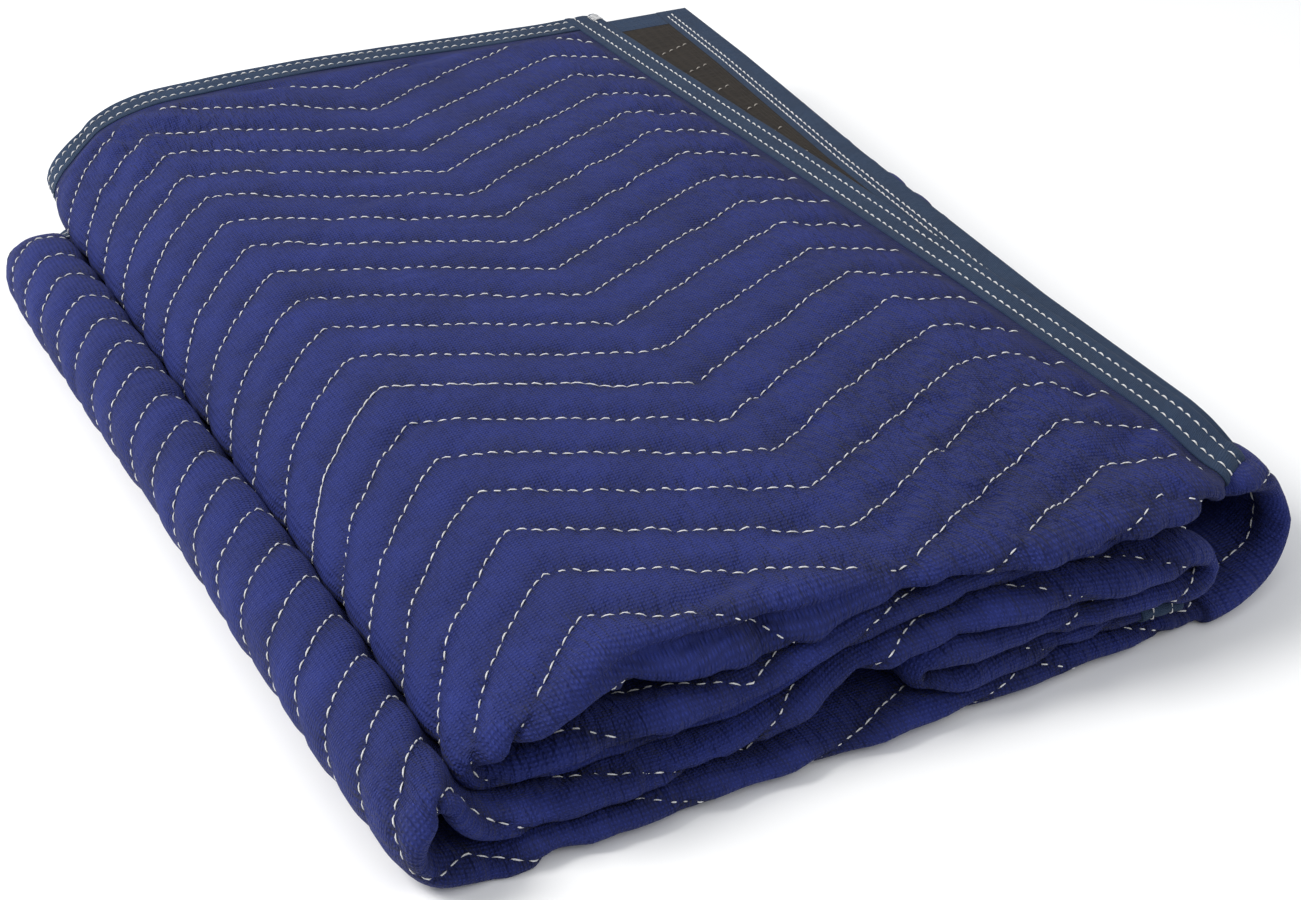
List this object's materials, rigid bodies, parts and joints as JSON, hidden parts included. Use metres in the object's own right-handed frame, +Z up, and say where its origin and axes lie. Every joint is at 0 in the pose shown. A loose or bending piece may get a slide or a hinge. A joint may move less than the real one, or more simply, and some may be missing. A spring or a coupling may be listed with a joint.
{
  "type": "moving blanket",
  "caption": "Quilted protective cloth with bound edges, doubled and folded back and forth into a flat stack.",
  "frame": {"origin": "middle of the underside of the folded stack's bounding box, on the surface it lies on", "axes": "+Z up through the layers, +Y from the front fold to the open back edges, +X to the right, the side of the bound end on top"},
  "size_m": [0.3752, 0.51, 0.0485],
  "materials": {
    "face_cloth": "matt navy blue non-woven cloth with a fine embossed dot, quilted with white thread",
    "lining_cloth": "matt brown-black non-woven backing cloth",
    "binding_tape": "matt dark teal-blue tape, stitched down with two rows of white thread"
  },
  "bodies": {
    "root": {"face_cloth": "face_cloth", "lining_cloth": "lining_cloth", "binding_back_a": "binding_tape", "binding_back_b": "binding_tape", "binding_top_end": "binding_tape", "binding_far_end": "binding_tape"}
  },
  "joints": []
}
